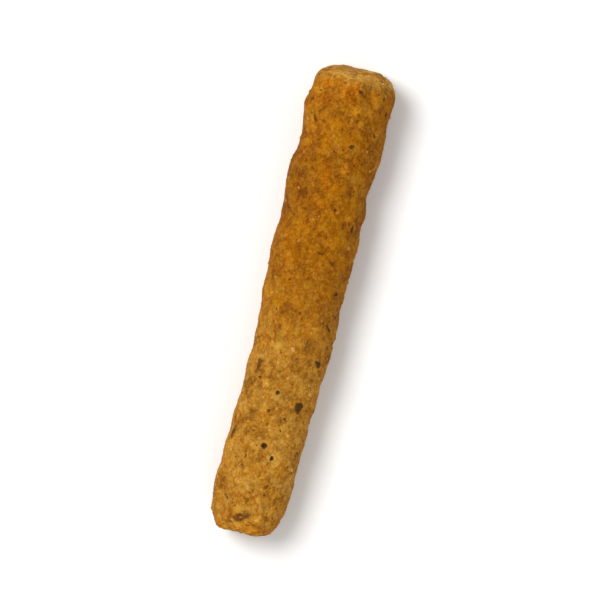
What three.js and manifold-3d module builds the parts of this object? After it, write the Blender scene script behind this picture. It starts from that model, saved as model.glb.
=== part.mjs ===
// A baked herb cracker stick, lying on the flat underside that the baking tray left.
// Millimetres, +Z up. The stick runs along X with its thicker end, the head, at +X.
// The origin is on the underside, below the middle of the stick.
// It is one solid: bumps and pits are in the skin, and herb flakes, grits and crumbs are fused on.

import * as THREE from 'three';
import { mergeVertices } from 'three/addons/utils/BufferGeometryUtils.js';
import Module from 'manifold-3d';

// Driving dimensions
const LENGTH = 89.0;
const RADIUS = 7.41; // of the rolled dough half way along
const TAPER = 0.59; // radius gained at the head and lost at the foot
const AXIS_HEIGHT = 6.68; // of the middle line half way along, less than the radius, for a flat underside
const TRAY_BLEND = 0.2; // height over which the round side eases into the flat underside

// The rounded ends: how far each reaches along X, how square its corner is, and its share of the outline
const FOOT = { reach: 6.7, squareness: 8, share: 0.13 };
const HEAD = { reach: 3.3, squareness: 4, share: 0.1 };
const HEAD_SLANT = { aside: 0.38, back: 1.4, reach: 12 }; // the head's face leans back at +Y and at the top
const FOOT_SLANT = { aside: 0.38, reach: 8.2 }; // the foot is cut back at -Y
const FOOT_PRESS = { depth: 0.74, reach: 8.2 }; // both ends are pressed in at -Y
const HEAD_PRESS = { depth: 1.35, reach: 5 };

// Swells and waists: where along the stick, how much radius, and how far they reach
const SWELLS = [
	{ at: - 31, by: 0.34, reach: 4 },
	{ at: - 22, by: - 0.1, reach: 5 },
	{ at: - 9, by: - 0.11, reach: 6 },
	{ at: 8, by: 0.27, reach: 5.5 },
	{ at: 26, by: 0.19, reach: 3.5 },
	{ at: 32, by: - 0.12, reach: 2.5 },
	{ at: 37, by: 0.22, reach: 3 },
];
// Bends of the middle line: where along the stick, how far towards +Y, and how far they reach
const BENDS = [
	{ at: - 34, by: 0.42, reach: 6 },
	{ at: - 9, by: - 0.38, reach: 6 },
	{ at: 8, by: 0.3, reach: 6 },
	{ at: 22, by: 0.73, reach: 4.5 },
	{ at: 36, by: 0.55, reach: 3 },
];
const CENTRING = { along: - 0.156, aside: - 0.41 }; // moves the stick, so that its box is over the origin

// Unevenness of the hand-rolled dough: crossing waves, each as high as its length times the steepness
const WAVES = { count: 26, longest: 9, shortest: 2.4, steepness: 0.0068 };

// What shows on the skin: how many, and the range of sizes. The first number keeps their draws apart.
const PITS = { first: 0, count: 80, radius: [ 0.9, 1.8 ], depth: [ 0.15, 0.42 ] };
const FLAKES = { first: 1000, count: 44, long: [ 0.9, 1.7 ], wide: [ 0.5, 0.85 ], proud: [ 0.08, 0.16 ] };
const GRITS = { first: 2000, count: 36, radius: [ 0.34, 0.56 ], proud: 0.3 };
const CRUMBS = { first: 3000, count: 8, radius: [ 0.6, 0.95 ], proud: 0.22 };
const FLAKE_SUNK = 0.5; // how deep the flakes reach into the dough
const FLAKE_SIDES = 6;
const BARE_BELOW = 40; // degrees to each side of straight down that carry no flakes or grains

// The large flakes of the upper side: along X, across Y, length, width, and turn from X in degrees
const LARGE_FLAKES = [
	[ - 41.9, 0.9, 4.2, 2.4, - 57 ],
	[ - 38.7, 4.4, 2.4, 1.2, 50 ],
	[ - 26.9, 6.0, 2.9, 1.5, 5 ],
	[ - 19.5, - 4.6, 3.3, 2.9, 20 ],
	[ - 13.6, 4.4, 3.6, 1.4, 3 ],
	[ - 10.8, - 6.2, 2.2, 1.6, 60 ],
	[ - 3.9, - 6.4, 2.4, 0.8, 50 ],
	[ 7.9, - 4.1, 2.0, 1.0, 65 ],
	[ 15.0, - 6.1, 2.0, 1.0, 5 ],
	[ 33.0, - 5.9, 1.5, 0.7, 30 ],
	[ 33.5, 5.4, 2.0, 0.9, 15 ],
];

const CELL = 1.3; // edge of the skin's triangles
const MATERIAL = { color: 0xb27b2b, roughness: 0.85, metalness: 0 };

const HALF = LENGTH / 2;
const GOLDEN_ANGLE = Math.PI * ( 3 - Math.sqrt( 5 ) );
const { degToRad, smoothstep, lerp } = THREE.MathUtils;
const fraction = ( value ) => value - Math.floor( value );

// The sum of smooth bumps along the stick: how much is added there by all swells, or by all bends
const sumAt = ( x, bumps ) => bumps.reduce( ( sum, { at, by, reach } ) =>
	sum + by * Math.exp( - ( ( ( x - at ) / reach ) ** 2 ) ), 0 );
const swellAt = ( x ) => TAPER * x / HALF + sumAt( x, SWELLS );
const asideAt = ( x ) => CENTRING.aside + sumAt( x, BENDS );

// From 0 to 1 over the given reach before an end
const nearEnd = ( x, { reach } ) => smoothstep( x, HALF - reach, HALF );

// A number from 0 to 1 that looks random, always the same for one thing and one question about it
const chance = ( thing, question ) =>
	fraction( 43758.5453 * Math.sin( 12.9898 * thing + 78.233 * question ) );
const pick = ( [ low, high ], thing, question ) => lerp( low, high, chance( thing, question ) );

// The half outline from the foot's tip to the head's tip: x along the stick, y the radius.
// Each end is a quarter of a superellipse.
class Outline extends THREE.Curve {

	getPoint( t, target = new THREE.Vector2() ) {

		const bodyShare = 1 - FOOT.share - HEAD.share;
		const bodyX = lerp( FOOT.reach - HALF, HALF - HEAD.reach, ( t - FOOT.share ) / bodyShare );
		if ( t < FOOT.share ) return this.endPoint( FOOT, - 1, t / FOOT.share, target );
		if ( t > 1 - HEAD.share ) return this.endPoint( HEAD, 1, ( 1 - t ) / HEAD.share, target );
		return target.set( bodyX, RADIUS );

	}

	endPoint( { reach, squareness }, sign, part, target ) {

		const angle = part * Math.PI / 2;
		const x = HALF - reach + reach * Math.cos( angle );
		return target.set( sign * x, RADIUS * Math.sin( angle ) ** ( 2 / squareness ) );

	}

}

const outline = new Outline();
outline.arcLengthDivisions = 4000;

// The share of the outline where the stick has the given x
function shareAt( x ) {

	const footPart = ( FOOT.reach - HALF - x ) / FOOT.reach;
	const headPart = ( HEAD.reach - HALF + x ) / HEAD.reach;
	if ( footPart > 0 ) return FOOT.share * Math.acos( footPart ) / ( Math.PI / 2 );
	if ( headPart > 0 ) return 1 - HEAD.share * Math.acos( headPart ) / ( Math.PI / 2 );
	return lerp( FOOT.share, 1 - HEAD.share, ( x + HALF - FOOT.reach ) / ( LENGTH - FOOT.reach - HEAD.reach ) );

}

// The waves' directions are spread over the sphere by the golden angle
const waves = Array.from( { length: WAVES.count }, ( _, k ) => {

	const height = 1 - 2 * fraction( k * 0.618034 );
	const flat = Math.sqrt( 1 - height * height );
	const around = k * GOLDEN_ANGLE;
	return {
		direction: new THREE.Vector3( flat * Math.cos( around ), flat * Math.sin( around ), height ),
		size: WAVES.longest * ( WAVES.shortest / WAVES.longest ) ** ( ( k + 0.5 ) / WAVES.count ),
		phase: 1.7 * around,
	};

} );

function waveHeight( point ) {

	const height = waves.reduce( ( sum, { direction, size, phase } ) =>
		sum + size * Math.sin( 2 * Math.PI * point.dot( direction ) / size + phase ), 0 );
	return WAVES.steepness * height;

}

// Evenly spread places on the skin, slightly jittered. Few are kept near the tips, where rings are short.
function spreadPlaces( { first, count }, bareBelow ) {

	const places = [];
	for ( let thing = first; places.length < count; thing ++ ) {

		const t = fraction( 0.7548777 * thing + 0.03 * chance( thing, 1 ) );
		const part = fraction( 0.569840291 * thing + 0.05 * chance( thing, 2 ) );
		const turn = degToRad( lerp( bareBelow - 90, 270 - bareBelow, part ) );
		if ( chance( thing, 3 ) * RADIUS < outline.getPoint( t ).y ) places.push( { thing, t, turn } );

	}

	return places;

}

// Pits left by burst bubbles and lost crumbs
const pits = spreadPlaces( PITS, 0 ).map( ( { thing, t, turn } ) => {

	const { x, y } = outline.getPoint( t );
	return {
		centre: new THREE.Vector3( x, y * Math.cos( turn ), y * Math.sin( turn ) ),
		radius: pick( PITS.radius, thing, 4 ),
		depth: pick( PITS.depth, thing, 5 ),
	};

} );

function pitDepth( point ) {

	const depths = pits.map( ( { centre, radius, depth } ) =>
		depth * Math.max( 0, 1 - point.distanceToSquared( centre ) / radius ** 2 ) ** 2 );
	return Math.max( ...depths );

}

// The flat underside: a soft maximum of the height and the tray, exactly 0 below the blend
function restOnTray( z ) {

	if ( z >= TRAY_BLEND ) return z;
	if ( z <= - TRAY_BLEND ) return 0;
	return ( z + TRAY_BLEND ) ** 2 / ( 4 * TRAY_BLEND );

}

// A point of the skin: t runs along the outline from foot to head, turn goes round from +Y towards +Z
function skinAt( t, turn ) {

	const { x, y: radius } = outline.getPoint( t );
	const along = outline.getTangent( t );
	const side = new THREE.Vector3( 0, Math.cos( turn ), Math.sin( turn ) );
	const share = radius / RADIUS;
	const point = side.clone().multiplyScalar( radius ).setX( x );
	const outward = side.clone().multiplyScalar( along.x ).setX( - along.y );

	const rise = waveHeight( point ) - pitDepth( point );
	point.addScaledVector( side, swellAt( x ) * share ).addScaledVector( outward, rise );

	const headLean = ( HEAD_SLANT.aside * side.y + HEAD_SLANT.back * side.z ) * nearEnd( x, HEAD_SLANT );
	const footLean = FOOT_SLANT.aside * side.y * nearEnd( - x, FOOT_SLANT );
	const pressed = HEAD_PRESS.depth * nearEnd( x, HEAD_PRESS ) + FOOT_PRESS.depth * nearEnd( - x, FOOT_PRESS );
	point.x -= ( headLean + footLean ) * share;
	point.y += pressed * Math.max( 0, - side.y ) ** 2 * share;

	point.x += CENTRING.along;
	point.y += asideAt( x );
	point.z = restOnTray( point.z + AXIS_HEIGHT + TAPER * x / HALF );
	return point;

}

// Joins two rings of points by triangles, always stepping round the ring that lags
function stitchRings( faces, a, b ) {

	let i = 0;
	let j = 0;
	while ( i < a.count || j < b.count ) {

		const aNext = i < a.count ? a.offset + ( i + 1 ) / a.count : Infinity;
		const bNext = j < b.count ? b.offset + ( j + 1 ) / b.count : Infinity;
		const here = [ b.first + j % b.count, a.first + i % a.count ];
		if ( aNext <= bNext ) {

			i ++;
			faces.push( ...here, a.first + i % a.count );

		} else {

			j ++;
			faces.push( ...here, b.first + j % b.count );

		}

	}

}

// Closes the skin at a tip with a fan. The sign is +1 at the head and -1 at the foot.
function closeTip( faces, tip, ring, sign ) {

	for ( let k = 0; k < ring.count; k ++ ) {

		const here = ring.first + k;
		const next = ring.first + ( k + 1 ) % ring.count;
		faces.push( tip.first, ...( sign > 0 ? [ here, next ] : [ next, here ] ) );

	}

}

// The whole skin as rings of points, as many in each ring as its length needs, and one at each tip
function skinGeometry() {

	const rows = Math.round( outline.getLength() / ( CELL * 0.88 ) );
	const positions = [];
	const faces = [];
	const rings = [];
	for ( let row = 0; row <= rows; row ++ ) {

		const t = outline.getUtoTmapping( row / rows );
		const isTip = row === 0 || row === rows;
		const count = isTip ? 1 : Math.max( 6, Math.round( 2 * Math.PI * outline.getPoint( t ).y / CELL ) );
		const offset = ( row % 2 ) * 0.5 / count;
		rings.push( { first: positions.length / 3, count, offset } );
		for ( let k = 0; k < count; k ++ ) {

			positions.push( ...skinAt( t, 2 * Math.PI * ( offset + k / count ) ) );

		}

	}

	closeTip( faces, rings[ 0 ], rings[ 1 ], - 1 );
	for ( let row = 2; row < rows; row ++ ) stitchRings( faces, rings[ row - 1 ], rings[ row ] );
	closeTip( faces, rings[ rows ], rings[ rows - 1 ], 1 );
	return new THREE.BufferGeometry()
		.setAttribute( 'position', new THREE.Float32BufferAttribute( positions, 3 ) )
		.setIndex( faces );

}

// Where a topping sits: a frame on the skin with Z outwards, and X turned from the stick's length
function seatAt( t, turn, spin ) {

	const origin = skinAt( t, turn );
	const step = 0.004;
	const along = skinAt( Math.min( 1, t + step ), turn ).sub( skinAt( Math.max( 0, t - step ), turn ) );
	const round = skinAt( t, turn + 0.08 ).sub( skinAt( t, turn - 0.08 ) );
	const out = round.cross( along ).normalize();
	const x = along.normalize().applyAxisAngle( out, spin );
	return new THREE.Matrix4().makeBasis( x, out.clone().cross( x ), out ).setPosition( origin );

}

// A scrap of dried leaf: a low chip with an uneven outline, most of it in the dough
function flakeGeometry( long, wide, proud, ripple ) {

	const height = proud + FLAKE_SUNK;
	const chip = new THREE.CylinderGeometry( 0.8, 1, height, FLAKE_SIDES ).rotateX( Math.PI / 2 );
	const position = chip.getAttribute( 'position' );
	for ( let i = 0; i < position.count; i ++ ) {

		const [ x, y ] = [ position.getX( i ), position.getY( i ) ];
		const uneven = 1 + 0.16 * Math.sin( 3 * Math.atan2( y, x ) + ripple );
		position.setXY( i, x * uneven * long / 2, y * uneven * wide / 2 );

	}

	return chip.translate( 0, 0, proud - height / 2 );

}

// A grit or crumb: an uneven faceted grain, with the given share of its height out of the dough
function grainGeometry( radius, proud, thing ) {

	const grain = new THREE.IcosahedronGeometry( radius, 0 );
	grain.scale( pick( [ 0.85, 1.3 ], thing, 6 ), pick( [ 0.75, 1 ], thing, 7 ), 0.85 );
	return grain.translate( 0, 0, 0.85 * radius * ( 2 * proud - 1 ) );

}

function largeFlakes() {

	return LARGE_FLAKES.map( ( [ x, y, long, wide, degrees ] ) => {

		const t = shareAt( x );
		const turn = Math.acos( ( y - asideAt( x ) ) / ( outline.getPoint( t ).y + swellAt( x ) ) );
		const seat = seatAt( t, turn, degToRad( degrees ) );
		return flakeGeometry( long, wide, FLAKES.proud[ 1 ], x ).applyMatrix4( seat );

	} );

}

function scatteredFlakes() {

	return spreadPlaces( FLAKES, BARE_BELOW ).map( ( { thing, t, turn } ) => {

		const long = pick( FLAKES.long, thing, 4 );
		const wide = pick( FLAKES.wide, thing, 5 );
		const proud = pick( FLAKES.proud, thing, 6 );
		const seat = seatAt( t, turn, Math.PI * chance( thing, 7 ) );
		return flakeGeometry( long, wide, proud, thing ).applyMatrix4( seat );

	} );

}

function scatteredGrains( kind ) {

	return spreadPlaces( kind, BARE_BELOW ).map( ( { thing, t, turn } ) =>
		grainGeometry( pick( kind.radius, thing, 4 ), kind.proud, thing )
			.applyMatrix4( seatAt( t, turn, Math.PI * chance( thing, 5 ) ) ) );

}

const wasm = await Module();
wasm.setup();

function solidOf( geometry ) {

	geometry.deleteAttribute( 'normal' );
	geometry.deleteAttribute( 'uv' );
	const merged = mergeVertices( geometry, 1e-4 );
	return new wasm.Manifold( new wasm.Mesh( {
		numProp: 3,
		vertProperties: merged.getAttribute( 'position' ).array,
		triVerts: new Uint32Array( merged.index.array ),
	} ) );

}

function stickGeometry() {

	const toppings = [
		...largeFlakes(),
		...scatteredFlakes(),
		...scatteredGrains( GRITS ),
		...scatteredGrains( CRUMBS ),
	];
	const dough = solidOf( skinGeometry() );
	const solid = toppings.reduce( ( joined, topping ) => joined.add( solidOf( topping ) ), dough );
	const { vertProperties, triVerts } = solid.getMesh();
	const geometry = new THREE.BufferGeometry()
		.setAttribute( 'position', new THREE.Float32BufferAttribute( vertProperties, 3 ) )
		.setIndex( new THREE.Uint32BufferAttribute( triVerts, 1 ) );
	geometry.computeVertexNormals();
	return geometry;

}

const stick = new THREE.Mesh( stickGeometry(), new THREE.MeshStandardMaterial( MATERIAL ) );
stick.name = 'cracker_stick';

const part = new THREE.Group();
part.name = 'herb_cracker_stick';
part.add( stick );

export default part;
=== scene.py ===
import math

import bmesh
import bpy
import numpy as np
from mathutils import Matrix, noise


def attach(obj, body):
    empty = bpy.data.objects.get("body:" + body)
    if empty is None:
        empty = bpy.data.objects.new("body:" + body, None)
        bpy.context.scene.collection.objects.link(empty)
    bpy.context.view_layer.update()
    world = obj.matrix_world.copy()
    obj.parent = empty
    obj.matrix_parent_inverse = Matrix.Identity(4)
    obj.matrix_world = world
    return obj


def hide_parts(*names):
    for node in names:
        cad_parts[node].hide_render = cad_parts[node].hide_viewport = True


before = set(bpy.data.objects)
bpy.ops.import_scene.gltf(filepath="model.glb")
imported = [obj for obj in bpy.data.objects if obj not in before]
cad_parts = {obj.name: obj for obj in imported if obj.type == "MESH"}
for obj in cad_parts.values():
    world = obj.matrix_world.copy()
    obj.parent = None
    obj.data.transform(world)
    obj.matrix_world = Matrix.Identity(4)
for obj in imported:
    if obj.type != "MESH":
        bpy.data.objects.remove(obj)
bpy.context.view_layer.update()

metresPerMm = 0.001


# Camera, straight above the lying stick and turned so that it leans as in the photograph
view = {
    "distance": 1.2,  # metres above the floor
    "across": 0.112,  # metres that the picture spans at the stick
    "lean": 14.1,  # degrees that the thicker end leans to the right of straight up
    "aimHeight": 0.008,  # metres, half way up the stick
    "sensor": 36,  # millimetres
}

viewTurn = math.radians(view["lean"] - 90)
pictureRight = np.array([math.cos(viewTurn), math.sin(viewTurn), 0])
pictureUp = np.array([-math.sin(viewTurn), math.cos(viewTurn), 0])


def addCamera():
    data = bpy.data.cameras.new("camera")
    data.sensor_width = view["sensor"]
    data.lens = view["sensor"] * (view["distance"] - view["aimHeight"]) / view["across"]
    data.clip_start = 0.01
    camera = bpy.data.objects.new("camera", data)
    camera.location = (0, 0, view["distance"])
    camera.rotation_euler = (0, 0, viewTurn)
    bpy.context.scene.collection.objects.link(camera)
    bpy.context.scene.camera = camera


addCamera()
print("camera placed")


# Small helpers for node trees. A socket given as a value is linked, anything else is set.
def addNode(tree, kind, values=None, **settings):
    node = tree.nodes.new(kind)
    for name, setting in settings.items():
        setattr(node, name, setting)
    for name, value in (values or {}).items():
        if isinstance(value, bpy.types.NodeSocket):
            tree.links.new(value, node.inputs[name])
        else:
            node.inputs[name].default_value = value
    return node


def calculate(tree, operation, *values):
    return addNode(tree, "ShaderNodeMath", dict(enumerate(values)), operation=operation).outputs[0]


def mixColours(tree, share, under, over, blend="MIX"):
    node = addNode(tree, "ShaderNodeMix", {0: share, 6: under, 7: over}, data_type="RGBA", blend_type=blend)
    return node.outputs[2]


def remap(tree, value, fromLow, fromHigh, toLow=0.0, toHigh=1.0, smooth=True):
    node = addNode(tree, "ShaderNodeMapRange", {0: value, 1: fromLow, 2: fromHigh, 3: toLow, 4: toHigh})
    node.interpolation_type = "SMOOTHSTEP" if smooth else "LINEAR"
    return node.outputs[0]


def rampOf(tree, value, stops):  # the first and the last stop come first
    node = addNode(tree, "ShaderNodeValToRGB", {0: value})
    ramp = node.color_ramp
    ramp.interpolation = "EASE"
    for k, (position, shade) in enumerate(stops):
        stop = ramp.elements[k] if k < 2 else ramp.elements.new(position)
        stop.position = position
        stop.color = shade
    return node.outputs["Color"]


def colour(*picture):  # from the 0 to 255 numbers of a picture
    return tuple(((c / 255 + 0.055) / 1.055) ** 2.4 if c > 10 else c / 3295 for c in picture) + (1.0,)


def newGroup(name, inputs, outputs):
    tree = bpy.data.node_groups.new(name, "ShaderNodeTree")
    kinds = {float: "NodeSocketFloat", tuple: "NodeSocketColor"}
    for label, value in inputs.items():
        socket = tree.interface.new_socket(name=label, in_out="INPUT", socket_type=kinds[type(value)])
        socket.default_value = value
    for label, kind in outputs.items():
        tree.interface.new_socket(name=label, in_out="OUTPUT", socket_type=kinds[kind])
    return tree, tree.nodes.new("NodeGroupInput").outputs, tree.nodes.new("NodeGroupOutput").inputs


def placeGroup(tree, group, values):
    return addNode(tree, "ShaderNodeGroup", values, node_tree=group).outputs


def placeInMm(tree):  # the piece's own place in millimetres
    place = tree.nodes.new("ShaderNodeTexCoord").outputs["Object"]
    values = {0: place, "Scale": 1 / metresPerMm}
    return addNode(tree, "ShaderNodeVectorMath", values, operation="SCALE").outputs[0]


def sizedNoise(tree, place, size, detail=3.0, roughness=0.55):
    scale = calculate(tree, "DIVIDE", 1.0, size)
    values = {"Vector": place, "Scale": scale, "Detail": detail, "Roughness": roughness}
    return addNode(tree, "ShaderNodeTexNoise", values)


def bendPlace(tree, place, size, by):  # the place moved about by up to half of by, so that cells get uneven
    noisy = sizedNoise(tree, place, size, 2.0).outputs["Color"]
    values = {0: noisy, 1: (by, by, by), 2: place}
    return addNode(tree, "ShaderNodeVectorMath", values, operation="MULTIPLY_ADD").outputs[0]


def grainsOf(tree, place, size):  # the distance from each grain's middle, and a tone of its own
    values = {"Vector": place, "Scale": calculate(tree, "DIVIDE", 1.0, size)}
    grain = addNode(tree, "ShaderNodeTexVoronoi", values)
    tone = addNode(tree, "ShaderNodeSeparateColor", {0: grain.outputs["Color"]}).outputs[0]
    return grain.outputs["Distance"], tone


def addUp(tree, base, *parts):  # each part is a value from 0 to 1 and how much it counts to each side
    for value, weight in parts:
        base = calculate(tree, "ADD", base, calculate(tree, "MULTIPLY_ADD", value, weight, -weight / 2))
    return base


# Mottling: clouds of a coarse size, crossed by grains of two sizes and a fine tooth
mottleLook = {
    "cloud": 1.05,  # how much each layer counts in the tone
    "grain": 0.24,
    "smallGrain": 0.17,
    "tooth": 0.45,
    "gaps": -0.16,
    "bend": 0.7,  # millimetres by which the grains are moved about
}


def makeMottleGroup():
    inputs = {"Cloud Size": 6.0, "Grain Size": 0.8, "Tooth Size": 0.22}
    tree, given, out = newGroup("mottle", inputs, {"Tone": float, "Height": float})
    place = placeInMm(tree)
    cloud = sizedNoise(tree, place, given["Cloud Size"], 4.0, 0.6).outputs["Fac"]
    tooth = sizedNoise(tree, place, given["Tooth Size"], 3.0, 0.65).outputs["Fac"]
    bent = bendPlace(tree, place, given["Grain Size"], mottleLook["bend"])
    distance, ownTone = grainsOf(tree, bent, given["Grain Size"])
    smallSize = calculate(tree, "MULTIPLY", given["Grain Size"], 0.5)
    smallDistance, smallTone = grainsOf(tree, bent, smallSize)

    layers = {"cloud": cloud, "grain": ownTone, "smallGrain": smallTone, "tooth": tooth}
    tone = addUp(tree, 0.5, *((layer, mottleLook[name]) for name, layer in layers.items()))
    gaps = remap(tree, smallDistance, 0.35, 0.75)
    tree.links.new(calculate(tree, "MULTIPLY_ADD", gaps, mottleLook["gaps"], tone), out["Tone"])
    rounded = calculate(tree, "MULTIPLY_ADD", distance, -0.6, 0.6)
    rounded = calculate(tree, "MULTIPLY_ADD", smallDistance, -0.4, rounded)
    tree.links.new(calculate(tree, "MULTIPLY_ADD", tooth, 0.5, rounded), out["Height"])
    return tree


# Specks: round dots scattered one to a cell, of which only a share show
def makeSpeckGroup():
    tree, given, out = newGroup("specks", {"Spacing": 1.6, "Reach": 0.2, "Share": 0.5}, {"Mask": float})
    place = bendPlace(tree, placeInMm(tree), 0.35, 0.3)
    scale = calculate(tree, "DIVIDE", 1.0, given["Spacing"])
    cell = addNode(tree, "ShaderNodeTexVoronoi", {"Vector": place, "Scale": scale})
    odds = addNode(tree, "ShaderNodeSeparateColor", {0: cell.outputs["Color"]}).outputs
    shows = calculate(tree, "LESS_THAN", odds[0], given["Share"])
    reach = calculate(tree, "MULTIPLY", given["Reach"], calculate(tree, "MULTIPLY_ADD", odds[1], 0.8, 0.5))
    near = remap(tree, cell.outputs["Distance"], reach, calculate(tree, "MULTIPLY", reach, 0.45))
    tree.links.new(calculate(tree, "MULTIPLY", near, shows), out["Mask"])
    return tree


# Patches of another colour with soft edges, such as toasting
def makePatchGroup():
    inputs = {"Under": (0.5, 0.3, 0.1, 1.0), "Over": (0.3, 0.1, 0.02, 1.0)}
    inputs |= {"Amount": 0.3, "Patches": 0.3, "Patch Size": 4.5}
    tree, given, out = newGroup("patches", inputs, {"Color": tuple})
    patch = sizedNoise(tree, placeInMm(tree), given["Patch Size"], 5.0, 0.6).outputs["Fac"]
    patchy = calculate(tree, "MULTIPLY", remap(tree, patch, 0.48, 0.7), given["Patches"])
    uneven = calculate(tree, "MULTIPLY_ADD", patch, 1.3, 0.35)
    edge = calculate(tree, "MULTIPLY", given["Amount"], uneven)
    mask = remap(tree, calculate(tree, "ADD", patchy, edge), 0.0, 1.0, smooth=False)
    tree.links.new(mixColours(tree, mask, given["Under"], given["Over"]), out["Color"])
    return tree


# A blot broken up by noise: the tinge shows where the noise is high, as far as the amount allows
def makeBlotGroup():
    inputs = {"Under": (0.5, 0.3, 0.1, 1.0), "Tinge": (1.0, 0.5, 0.2, 1.0)}
    inputs |= {"Amount": 0.5, "Grain Size": 1.0}
    tree, given, out = newGroup("blots", inputs, {"Color": tuple})
    broken = sizedNoise(tree, placeInMm(tree), given["Grain Size"], 4.0, 0.6).outputs["Fac"]
    mask = calculate(tree, "MULTIPLY", given["Amount"], remap(tree, broken, 0.34, 0.6))
    tinged = mixColours(tree, 1.0, given["Under"], given["Tinge"], "MULTIPLY")
    tree.links.new(mixColours(tree, mask, given["Under"], tinged), out["Color"])
    return tree


mottle = makeMottleGroup()
specks = makeSpeckGroup()
patches = makePatchGroup()
blots = makeBlotGroup()


def newMaterial(name):
    material = bpy.data.materials.new(name)
    material.use_nodes = True
    tree = material.node_tree
    return material, tree, tree.nodes["Principled BSDF"]


def readAttribute(tree, name):
    return addNode(tree, "ShaderNodeAttribute", attribute_name=name).outputs["Fac"]


def addBump(tree, shader, height, distanceMm, strength=1.0):
    values = {"Height": height, "Distance": distanceMm * metresPerMm, "Strength": strength}
    bump = addNode(tree, "ShaderNodeBump", values)
    tree.links.new(bump.outputs["Normal"], shader.inputs["Normal"])


doughLook = {
    "deep": colour(118, 76, 22),
    "low": colour(148, 100, 29),
    "middle": colour(168, 117, 37),
    "high": colour(182, 132, 46),
    "pale": colour(201, 154, 66),
    "warmTinge": (1.04, 0.93, 0.6, 1.0),  # a tinge is what a colour is multiplied by
    "wanTinge": (0.98, 1.06, 1.45, 1.0),
    # The toasted tinge also serves as painted shade on the head's half
    "toastedTinge": (0.8, 0.62, 0.04, 1.0),
    "glow": {"tinge": (1.22, 1.02, 0.5, 1.0), "grain": 1.6},
    "bright": {"tinge": (1.45, 1.5, 1.6, 1.0), "grain": 0.9},
    "dark": {"tinge": (0.42, 0.4, 0.42, 1.0), "grain": 0.8},
    # shade: painted shade, a soft darkening where neighbouring sticks shade the stick
    "shade": {"tinge": (0.7, 0.63, 0.42, 1.0), "grain": 2.2},
    # The pale rim round the head's face: partly its paler crust, partly a painted highlight where the
    # rounded edge catches light
    "crustAndHighlight": {"tinge": (1.27, 1.42, 2.1, 1.0), "grain": 2.4},
    # hollow: painted shade inside pinholes and cracks
    "hollow": colour(74, 44, 12),
    # rim: a painted highlight on the lips round the deeper pinholes
    "rim": colour(206, 156, 76),
    "blob": colour(200, 150, 52),
    "blot": colour(118, 76, 24),
    "darkSpeck": colour(108, 68, 20),
    "paleSpeck": colour(206, 160, 84),
    "spots": {  # how much each kind covers, and how far apart, how large and how many its spots are
        "blob": (0.4, {"Spacing": 2.4, "Reach": 0.4, "Share": 0.4}),
        "blot": (0.38, {"Spacing": 2.6, "Reach": 0.42, "Share": 0.45}),
        "paleSpeck": (0.5, {"Spacing": 1.5, "Reach": 0.22, "Share": 0.35}),
        "darkSpeck": (0.5, {"Spacing": 1.3, "Reach": 0.2, "Share": 0.3}),
    },
    "bump": 0.14,  # millimetres
    "gloss": 0.08,
}


# Crumb: the dough's mottled brown and gold, warmer or paler from place to place, spotted, then toasted,
# which on the head's half is partly painted shade
def makeCrumbGroup():
    tree, given, out = newGroup("crumb", {"Toast": 0.0}, {"Color": tuple, "Tone": float, "Height": float})
    mottled = placeGroup(tree, mottle, {"Cloud Size": 3.6, "Grain Size": 0.9, "Tooth Size": 0.24})
    shade = rampOf(tree, mottled["Tone"], [
        (0.12, doughLook["deep"]), (0.9, doughLook["pale"]), (0.34, doughLook["low"]),
        (0.52, doughLook["middle"]), (0.7, doughLook["high"])])
    patch = sizedNoise(tree, placeInMm(tree), 2.8, 4.0, 0.7).outputs["Fac"]
    wan = remap(tree, addUp(tree, 0.5, (patch, 2.0), (mottled["Tone"], 1.0)), 0.0, 1.0)
    tinge = mixColours(tree, wan, doughLook["warmTinge"], doughLook["wanTinge"])
    shade = mixColours(tree, 1.0, shade, tinge, "MULTIPLY")
    for name, (share, spots) in doughLook["spots"].items():
        spot = calculate(tree, "MULTIPLY", placeGroup(tree, specks, spots)["Mask"], share)
        shade = mixColours(tree, spot, shade, doughLook[name])
    toasted = mixColours(tree, 1.0, shade, doughLook["toastedTinge"], "MULTIPLY")
    values = {"Under": shade, "Over": toasted, "Amount": given["Toast"], "Patches": 0.3, "Patch Size": 3.8}
    tree.links.new(placeGroup(tree, patches, values)["Color"], out["Color"])
    tree.links.new(mottled["Tone"], out["Tone"])
    tree.links.new(mottled["Height"], out["Height"])
    return tree


crumb = makeCrumbGroup()


def makeDoughMaterial():
    material, tree, shader = newMaterial("baked dough")
    toast = readAttribute(tree, "toast")
    plain = placeGroup(tree, crumb, {"Toast": toast})
    shade = plain["Color"]
    # The shade blots are painted shade; the pale rim round the head's face is partly a painted highlight
    amounts = {name: readAttribute(tree, name) for name in ("glow", "bright", "dark", "shade")}
    amounts["crustAndHighlight"] = remap(tree, toast, 0.0, -1.0)
    for name, amount in amounts.items():
        values = {"Under": shade, "Tinge": doughLook[name]["tinge"], "Amount": amount}
        shade = placeGroup(tree, blots, {**values, "Grain Size": doughLook[name]["grain"]})["Color"]
    hollow = readAttribute(tree, "hollow")
    # A painted highlight on the pinholes' lips, then painted shade inside pinholes and cracks
    shade = mixColours(tree, remap(tree, hollow, 0.0, -1.0), shade, doughLook["rim"])
    shade = mixColours(tree, remap(tree, hollow, 0.0, 1.0), shade, doughLook["hollow"])
    tree.links.new(shade, shader.inputs["Base Color"])
    tree.links.new(remap(tree, plain["Tone"], 0.2, 0.9, 0.92, 0.75), shader.inputs["Roughness"])
    shader.inputs["Specular IOR Level"].default_value = doughLook["gloss"]
    addBump(tree, shader, plain["Height"], doughLook["bump"])
    return material


flakeLook = {
    "dark": colour(66, 43, 12),
    "middle": colour(104, 64, 20),
    "light": colour(148, 94, 32),
    "toastedTinge": (0.86, 0.72, 0.3, 1.0),
    "bump": 0.05,
    "gloss": 0.08,
}


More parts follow.
